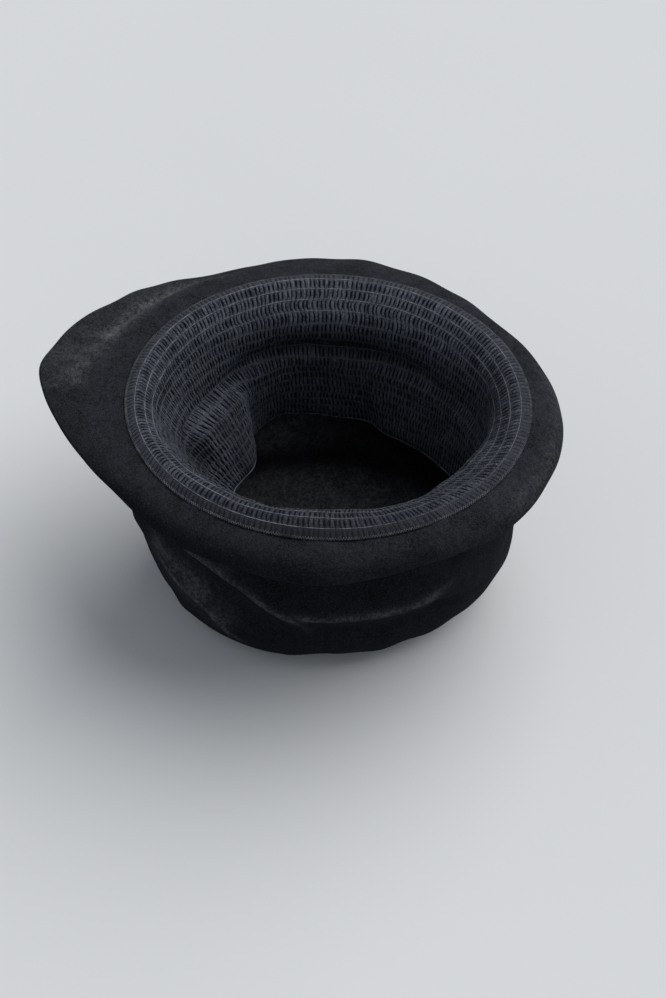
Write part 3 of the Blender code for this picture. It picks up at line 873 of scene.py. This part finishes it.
# The band thins out towards both of its edges; its front stands out from the middle of the cloth
DEPTH_AT_EDGE, DEPTH_GAIN, THIN_ROWS = 0.1, 0.4, 1.3
LINT_HEIGHT = 0.00006
edge_near = np.minimum(row_share, 1.0 - row_share) * SHIRRING_ROWS
front_depth = BAND_THICKNESS * (DEPTH_AT_EDGE + DEPTH_GAIN * fade_in(edge_near, 0.0, THIN_ROWS))
lint_lift = LINT_HEIGHT * draw.normal(size=rib_shape.shape)
rib_lift = rib_shape * pinch[:, None] * (1.0 - TAUT_FLATTENS * taut)
lift = front_depth[:, None] + RIB_RISE * rib_lift + lint_lift
lift = lift - PUCKER_DEPTH * at_thread[:, None]
band_front = round_band(band_base, rib_angles) - round_band(band_normals, rib_angles) * lift[..., None]

# The back of the band stays plain and smooth, with one face to a rib
back_angles = np.broadcast_to(all_round(RIBS), (mesh_rows + 1, RIBS))
band_back = round_band(band_base, back_angles)[::ROWS_PER_SHIRRING]


def two_faced_mesh(name, front, back, per_face):
    """A closed cloth: a fine front, a coarser back, and the two rims that join them."""
    front_rows, columns = front.shape[:2]
    back_rows, back_columns = back.shape[:2]
    shift = front_rows * columns
    faces = grid_faces(front_rows, columns)[:, [0, 3, 2, 1]].tolist()
    faces += (shift + grid_faces(back_rows, back_columns)).tolist()
    for front_row, back_row, upper in ((0, 0, False), (front_rows - 1, back_rows - 1, True)):
        for k in range(back_columns):
            fine = [front_row * columns + (k * per_face + n) % columns for n in range(per_face + 1)]
            coarse = [shift + back_row * back_columns + (k + n) % back_columns for n in (1, 0)]
            face = fine + coarse
            faces.append(face[::-1] if upper else face)
    return smooth_mesh(name, np.concatenate([front.reshape(-1, 3), back.reshape(-1, 3)]), faces)


band_mesh = two_faced_mesh("shirred_cloth", band_front, band_back, RIB_COLUMNS)

# Painted shade in the crease, beside the lobe and along the near side of the mouth
CREASE_SHADE, NEAR_SHADE, VALLEY_SHADE = 0.80, 0.66, 0.60
SHADE_ABOVE, SHADE_BELOW = 0.0065, 0.0120
FAR_SIDE_MIDDLE, FAR_SIDE_SPREAD = 90.0, 42.0
MOUTH_FROM, MOUTH_FADE, MOUTH_SHARE, STRIP_SHARE = 0.55, 0.25, 0.75, 0.20
VALLEY_MIDDLE, VALLEY_SPREAD = 186.0, 11.0
VALLEY_BELOW_CREASE, VALLEY_LENGTH = 0.010, 0.020
far_side = bell(base_degrees - FAR_SIDE_MIDDLE, FAR_SIDE_SPREAD)
near_rows = MOUTH_SHARE * fade_in(row_share, MOUTH_FROM, MOUTH_FADE) + STRIP_SHARE * outer_strip
beside_lobe = bell(base_degrees - VALLEY_MIDDLE, VALLEY_SPREAD)
beside_lobe = beside_lobe * bell(crease_at - VALLEY_BELOW_CREASE, VALLEY_LENGTH)
in_crease = far_side * bell(crease_at, np.where(crease_at > 0.0, SHADE_BELOW, SHADE_ABOVE))
shade_base = np.maximum(CREASE_SHADE * in_crease, NEAR_SHADE * near_side * near_rows[:, None])
shade_base = np.maximum(shade_base, VALLEY_SHADE * beside_lobe)
store_share(band_mesh, "shade", round_band(shade_base[..., None], rib_angles)[..., 0])

# Each point of the front also keeps its rib's height, which sets the painted shade in the slits, and its
# tone and its place on the cloth
TAUT_TONE, RIB_MOST = 0.56, 1.2
store_share(band_mesh, "rib", np.clip(rib_shape * (1.0 - taut) + TAUT_TONE * taut, 0.0, RIB_MOST))
store_share(band_mesh, "rib_tone", np.repeat(on_mesh_rows(tone_of_rib), RIB_COLUMNS, axis=1))
store_share(band_mesh, "cloth_across", rib_angles / (2.0 * np.pi))
store_share(band_mesh, "cloth_along", np.repeat(row_share, RIBS * RIB_COLUMNS))

# Painted shade, for the slits between ribs, the crease, beside the lobe and along the near side
PAINTED_SHADE_COLOUR = (0.0018, 0.0022, 0.0038)
BAND_SLATE = (0.0190, 0.0225, 0.0320)
BAND_PALE = (0.1250, 0.1360, 0.1700)
BAND_STRIP = (0.0780, 0.0810, 0.0960)
STRIP_DARK = (0.0180, 0.0200, 0.0270)
BAND_SHEEN_TINT = (0.65, 0.70, 0.82)
# How often yarns, streaks and the strip's slanting threads come round the band and up its length
YARNS_ROUND, YARNS_UP = 960.0, 300.0
STREAKS_ROUND, STREAKS_UP = 768.0, 34.0
SLANTS_ROUND, SLANTS_UP = 480.0, 60.0
# Ranges, each as from, to, and what these two become
WEAVE_TONE, RIB_TONE = (-1.0, 1.0, 0.0, 0.16), (0.0, 1.0, -0.08, 0.22)
SLIT_OPENS = (0.42, 0.74, 0.0, 1.0)
SLANT_TONE, STRIP_LINT = (-1.0, 1.0, 0.0, 0.45), (0.36, 0.64, 0.0, 0.55)
STRIP_OPENS = (0.34, 0.66, 0.30, 1.0)
ON_STRIP = (0.940, 0.950, 0.0, 0.80)
BAND_ROUGHNESS = (0.3, 0.7, 0.75, 0.92)
STREAKS = Grain("streaks", 1.0, 2.0, 0.60, 0.34, 0.66, -0.20, 0.36)
BAND_GRAINS = (
    Grain("lint", 900.0, 3.0, 0.65, 0.36, 0.64, -0.10, 0.30),
    Grain("yarn", 1700.0, 2.0, 0.60, 0.38, 0.62, -0.34, 0.52),
    Grain("fade", 45.0, 2.0, 0.50, 0.30, 0.70, -0.05, 0.14),
)

band_cloth, band_tree, band_shader = new_finish("shirred_navy_cotton")
band_at = node_in(band_tree, "TexCoord").outputs["Object"]
STORED_BY_BAND = ("rib", "rib_tone", "cloth_across", "cloth_along", "shade")
rib, rib_shade, across_cloth, along_cloth, shaded = [stored(band_tree, name) for name in STORED_BY_BAND]


def counted(round_count, up_count):
    """The place on the cloth, counted round the band and up its length."""
    counts = ((across_cloth, round_count), (along_cloth, up_count))
    return [maths(band_tree, "MULTIPLY", along, count) for along, count in counts]


def thread_wave(turns):
    """A wave over evenly spaced threads, from -1 between two to 1 on top."""
    return maths(band_tree, "SINE", maths(band_tree, "MULTIPLY", turns, 2.0 * np.pi), 0.0)


# Fine streaks run along the ribs, where single yarns of the cotton show
streak_at = node_in(band_tree, "CombineXYZ")
for socket, place in zip(streak_at.inputs, counted(STREAKS_ROUND, STREAKS_UP)):
    band_tree.links.new(place, socket)
streaks, streak_share = place_grain(band_tree, streak_at.outputs[0], STREAKS)
warp, weft = [thread_wave(turns) for turns in counted(YARNS_ROUND, YARNS_UP)]
weave = maths(band_tree, "MULTIPLY", warp, weft)
band_noise = {}
tone = remap(band_tree, weave, *WEAVE_TONE)
for grain in BAND_GRAINS:
    band_noise[grain.name], share = place_grain(band_tree, band_at, grain)
    tone = maths(band_tree, "ADD", tone, share)
tone = maths(band_tree, "ADD", tone, streak_share)
tone = maths(band_tree, "ADD", tone, remap(band_tree, rib_shade, *RIB_TONE))
cloth_colour = mix_colour(band_tree, tone, BAND_SLATE, BAND_PALE)
# Painted shade in the slits between the ribs, darkest where the rib is lowest
opened = remap(band_tree, rib, *SLIT_OPENS)
cloth_colour = mix_colour(band_tree, opened, PAINTED_SHADE_COLOUR, cloth_colour)

# The outer strip, pressed flat, shows a fine slanting weave, with painted shade in its slits
slant = thread_wave(maths(band_tree, "ADD", *counted(SLANTS_ROUND, SLANTS_UP)))
lint = band_noise["lint"]
strip_tone = remap(band_tree, slant, *SLANT_TONE)
strip_tone = maths(band_tree, "ADD", strip_tone, remap(band_tree, lint, *STRIP_LINT))
strip_colour = mix_colour(band_tree, strip_tone, STRIP_DARK, BAND_STRIP)
strip_opened = remap(band_tree, rib, *STRIP_OPENS)
strip_colour = mix_colour(band_tree, strip_opened, PAINTED_SHADE_COLOUR, strip_colour)
strip = remap(band_tree, along_cloth, *ON_STRIP)
cloth_colour = mix_colour(band_tree, strip, cloth_colour, strip_colour)
# Painted shade in the crease, beside the lobe and along the near side of the mouth
cloth_colour = mix_colour(band_tree, shaded, cloth_colour, PAINTED_SHADE_COLOUR)
band_relief = None
for height, depth, strength in ((streaks, 0.00030, 0.7), (weave, 0.00008, 0.6), (lint, 0.00018, 0.7)):
    band_relief = bump(band_tree, height, depth, strength, band_relief)
feed(band_tree, band_shader, cloth_colour, remap(band_tree, lint, *BAND_ROUGHNESS), band_relief)
soft_surface(band_shader, sheen=0.02, sheen_roughness=0.5, sheen_tint=BAND_SHEEN_TINT, specular=0.08)

shirred_band = add_piece("shirred_band_gathered", band_mesh, band_cloth)
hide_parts("shirred_band")

# The shirring thread: light grey cotton run through the band in even rows, one stitch over each
# rib, with its ends sunk between the ribs.

THREAD_RADIUS = 0.00019
THREAD_SINK = 0.00012
THREAD_SIDES = 4
STITCH_SHARES = np.array((0.02, 0.26, 0.50, 0.74, 0.98))


def tube_rings(centres, normals, along, radius, sides):
    """Rings of points round the centres of one or more runs of thread."""
    side = unit(np.cross(along, normals))
    up = unit(np.cross(side, along))
    turns = 2.0 * np.pi * (np.arange(sides) + 0.5) / sides
    ring = side[..., None, :] * np.cos(turns)[:, None] + up[..., None, :] * np.sin(turns)[:, None]
    return centres[..., None, :] + ring * radius


def short_tubes(name, centres, normals, radius, sides):
    """One mesh of many short closed tubes: centres holds a row of points for each tube."""
    count, samples = centres.shape[:2]
    rings = tube_rings(centres, normals, unit(np.gradient(centres, axis=1)), radius, sides)
    starts = np.arange(count)[:, None] * samples * sides
    walls = (starts[..., None] + grid_faces(samples, sides)).reshape(-1, 4)
    first, last = starts + np.arange(sides)[::-1], starts + (samples - 1) * sides + np.arange(sides)
    return smooth_mesh(name, rings, walls.tolist() + first.tolist() + last.tolist())


def on_band_row(row, angles):
    """Points and normals of one row of the band's base at the given angles."""
    angles = angles.reshape(1, -1)
    return [round_band(grid[row : row + 1], angles)[0] for grid in (band_base, band_normals)]


thread_rows = np.arange(ROWS_PER_SHIRRING, mesh_rows, ROWS_PER_SHIRRING)
rib_columns = np.arange(RIBS * RIB_COLUMNS)
on_ribs = (np.arange(RIBS)[:, None] + STITCH_SHARES).reshape(-1) * RIB_COLUMNS
stitch_centres, stitch_normals = [], []
for row in thread_rows:
    places = rib_start[row][:, None] + (rib_end[row] - rib_start[row])[:, None] * STITCH_SHARES
    surface, normal = on_band_row(row, around(places))
    hump = np.interp(on_ribs, rib_columns, rib_lift[row], period=RIBS * RIB_COLUMNS)
    height = front_depth[row] - PUCKER_DEPTH + hump * RIB_RISE + THREAD_RADIUS - THREAD_SINK
    stitch_centres.append((surface - normal * height[:, None]).reshape(RIBS, -1, 3))
    stitch_normals.append(-normal.reshape(RIBS, -1, 3))
stitch_centres, stitch_normals = np.concatenate(stitch_centres), np.concatenate(stitch_normals)
thread_mesh = short_tubes("shirring_stitches", stitch_centres, stitch_normals, THREAD_RADIUS, THREAD_SIDES)

# The thread is light in the outer rows; further in, and where the gathers slant, it is coloured darker grey
LIGHT_ROWS, GREYED_OVER = 5.6, 3.0
DULL_SHARE = 0.85
rows_in = (mesh_rows - thread_rows) / ROWS_PER_SHIRRING
row_lightness = fade_in(LIGHT_ROWS - rows_in, 0.0, GREYED_OVER)
stitch_lightness = row_lightness[:, None] * (1.0 - DULL_SHARE * slanting)
points_of_stitch = len(STITCH_SHARES) * THREAD_SIDES
store_share(thread_mesh, "lightness", np.repeat(stitch_lightness.reshape(-1), points_of_stitch))

THREAD_DARKEST = (0.035, 0.037, 0.045)
THREAD_DARK = (0.080, 0.083, 0.092)
THREAD_LIGHT = (0.260, 0.265, 0.280)
THREAD_TONE = Grain("tone", 160.0, 3.0, 0.6, 0.40, 0.62, 0.0, 1.0)
THREAD_TWIST = Grain("twist", 3200.0, 2.0, 0.6, 0.3, 0.7, 0.55, 0.8)
TWIST_DEPTH, TWIST_STRENGTH = 0.00006, 0.7
light_thread, thread_tree, thread_shader = new_finish("light_grey_thread")
thread_at = node_in(thread_tree, "TexCoord").outputs["Object"]
thread_tone = place_grain(thread_tree, thread_at, THREAD_TONE)[1]
thread_colour = mix_colour(thread_tree, thread_tone, THREAD_DARK, THREAD_LIGHT)
lightness = stored(thread_tree, "lightness")
thread_colour = mix_colour(thread_tree, lightness, THREAD_DARKEST, thread_colour)
twist, thread_roughness = place_grain(thread_tree, thread_at, THREAD_TWIST)
thread_relief = bump(thread_tree, twist, TWIST_DEPTH, TWIST_STRENGTH)
feed(thread_tree, thread_shader, thread_colour, thread_roughness, thread_relief)

shirring_thread = add_piece("shirring_thread_rows", thread_mesh, light_thread)

# The two finished edges of the band: a narrow overlocked selvedge on the free edge, and a line of
# zigzag stitches in the same light thread that holds the sewn edge to the felt.

SELVEDGE_RADIUS, SELVEDGE_SIDES = 0.00045, 6
SELVEDGE_SAMPLES = 720
SELVEDGE_OUT, SELVEDGE_RIPPLE = 0.2, 0.00025
SELVEDGE_LIGHTNESS = 0.55
ZIGZAGS = 500
ZIGZAG_WIDTH, ZIGZAG_INNER_SHARE = 0.0016, 0.1
ZIGZAG_RADIUS, ZIGZAG_SIDES = 0.00014, 4
ZIGZAG_OUT = 0.30
ZIGZAG_LIGHTNESS = 0.8


def closed_tube(name, centres, normals, radius, sides, lightness):
    """A tube of light thread that closes on itself round the hat."""
    count = len(centres)
    along = unit(np.roll(centres, -1, axis=0) - np.roll(centres, 1, axis=0))
    faces = grid_faces(count + 1, sides) % (count * sides)
    mesh = smooth_mesh(name, tube_rings(centres, normals, along, radius, sides), faces.tolist())
    store_share(mesh, "lightness", np.full(count * sides, lightness))
    return mesh


selvedge_angles = all_round(SELVEDGE_SAMPLES)
selvedge_at, selvedge_out = on_band_row(0, selvedge_angles)
ripple = SELVEDGE_RIPPLE * np.sin(selvedge_angles * RIBS)
selvedge_at = selvedge_at - selvedge_out * (front_depth[0] + RIB_RISE * SELVEDGE_OUT + ripple)[:, None]
selvedge_mesh = closed_tube(
    "overlocked_edge", selvedge_at, -selvedge_out, SELVEDGE_RADIUS, SELVEDGE_SIDES, SELVEDGE_LIGHTNESS
)
free_selvedge = add_piece("free_selvedge", selvedge_mesh, light_thread)

zigzag_angles = np.arange(2 * ZIGZAGS) * np.pi / ZIGZAGS
ring_at, ring_out = on_band_row(mesh_rows, zigzag_angles)
back_in = unit(on_band_row(mesh_rows - 1, zigzag_angles)[0] - ring_at)
swing = np.where(np.arange(2 * ZIGZAGS) % 2 == 0, ZIGZAG_INNER_SHARE, 1.0) * ZIGZAG_WIDTH
zigzag_at = ring_at + back_in * swing[:, None] - ring_out * (front_depth[-1] + RIB_RISE * ZIGZAG_OUT)
zigzag_mesh = closed_tube("zigzag", zigzag_at, -ring_out, ZIGZAG_RADIUS, ZIGZAG_SIDES, ZIGZAG_LIGHTNESS)
zigzag_edge = add_piece("zigzag_stitching", zigzag_mesh, light_thread)

# The floor that the hat lies on: plain and pale, with faint clouds in its tone, and wide enough to
# fill the picture from the camera's place.

FLOOR_HALF = 4.0
FLOOR_DROP = 0.0004
FLOOR_DULL, FLOOR_CLEAR = (0.66, 0.67, 0.68), (0.72, 0.73, 0.74)
# The floor sends little light up, so that the underside of the brim stays dark
FLOOR_BOUNCE = (0.30, 0.31, 0.32)
FLOOR_CLOUD = Grain("cloud", 2.0, 2.0, 0.5, 0.0, 1.0, 0.0, 1.0)
FLOOR_CORNERS = ((-1, -1), (1, -1), (1, 1), (-1, 1))
floor_mesh = bpy.data.meshes.new("floor")
floor_corners = [(x * FLOOR_HALF, y * FLOOR_HALF, -FLOOR_DROP) for x, y in FLOOR_CORNERS]
floor_mesh.from_pydata(floor_corners, [], [(0, 1, 2, 3)])
pale_floor, floor_tree, floor_shader = new_finish("pale_floor")
floor_at = node_in(floor_tree, "TexCoord").outputs["Object"]
floor_cloud = place_grain(floor_tree, floor_at, FLOOR_CLOUD)[0]
floor_colour = mix_colour(floor_tree, floor_cloud, FLOOR_DULL, FLOOR_CLEAR)
floor_seen = node_in(floor_tree, "LightPath").outputs["Is Camera Ray"]
floor_colour = mix_colour(floor_tree, floor_seen, FLOOR_BOUNCE, floor_colour)
floor_tree.links.new(floor_colour, floor_shader.inputs["Base Color"])
floor_shader.inputs["Roughness"].default_value = 0.9
floor_mesh.materials.append(pale_floor)
floor = bpy.data.objects.new("pale_floor", floor_mesh)
bpy.context.scene.collection.objects.link(floor)

# Soft studio light: one broad light above and a little behind the hat, from the right, and a pale
# room all round that lights the shadows.

LIGHT_FROM = Vector((0.55, 0.50, 1.0))
LIGHT_WIDTH = 1.20
LIGHT_STRENGTH = 2.45
LIGHT_COLOUR = (1.0, 0.99, 0.98)


def set_up(name, data, place, back):
    """A lamp or camera at a place, turned to look away from the direction called back."""
    thing = bpy.data.objects.new(name, data)
    thing.location = place
    thing.rotation_mode = "QUATERNION"
    thing.rotation_quaternion = (-back).to_track_quat("-Z", "Y")
    bpy.context.scene.collection.objects.link(thing)
    return thing


overhead = bpy.data.lights.new("overhead", "SUN")
overhead.angle, overhead.energy, overhead.color = LIGHT_WIDTH, LIGHT_STRENGTH, LIGHT_COLOUR
set_up("overhead", overhead, LIGHT_FROM * 2.0, LIGHT_FROM)

ROOM_LIGHT = (0.88, 0.93, 1.00)
ROOM_STRENGTH = 0.37
ROOM_SEEN = (0.630, 0.655, 0.680)
room = bpy.data.worlds.new("pale_room")
room.use_nodes = True
room_tree = room.node_tree
lighting = room_tree.nodes["Background"]
lighting.inputs["Color"].default_value = (*ROOM_LIGHT, 1.0)
lighting.inputs["Strength"].default_value = ROOM_STRENGTH
backdrop = node_in(room_tree, "Background")
backdrop.inputs["Color"].default_value = (*ROOM_SEEN, 1.0)
seen_or_lit = node_in(room_tree, "MixShader")
camera_ray = node_in(room_tree, "LightPath").outputs["Is Camera Ray"]
for socket, output in zip(seen_or_lit.inputs, (camera_ray, lighting.outputs[0], backdrop.outputs[0])):
    room_tree.links.new(output, socket)
room_tree.links.new(seen_or_lit.outputs[0], room_tree.nodes["World Output"].inputs["Surface"])
bpy.context.scene.world = room
bpy.context.scene.view_settings.view_transform = "Standard"

# The camera: about 50 degrees above the floor, turned 7 degrees and a little over a metre away, so
# that it looks down into the crown.

CAMERA_AZIMUTH = 6.8
CAMERA_ELEVATION = 50.2
CAMERA_DISTANCE = 1.05
CAMERA_TARGET = Vector((0.0024, 0.0047, 0.055))
CAMERA_LENS, CAMERA_SENSOR = 62.15, 36.0
CAMERA_NEAR, CAMERA_FAR = 0.05, 30.0
azimuth, elevation = np.radians([CAMERA_AZIMUTH, CAMERA_ELEVATION])
level_way = np.array([np.sin(azimuth), -np.cos(azimuth)]) * np.cos(elevation)
camera_back = Vector((*level_way, np.sin(elevation)))
camera_body = bpy.data.cameras.new("camera")
camera_body.lens, camera_body.sensor_width = CAMERA_LENS, CAMERA_SENSOR
camera_body.clip_start, camera_body.clip_end = CAMERA_NEAR, CAMERA_FAR
camera = set_up("camera", camera_body, CAMERA_TARGET + camera_back * CAMERA_DISTANCE, camera_back)
bpy.context.scene.camera = camera
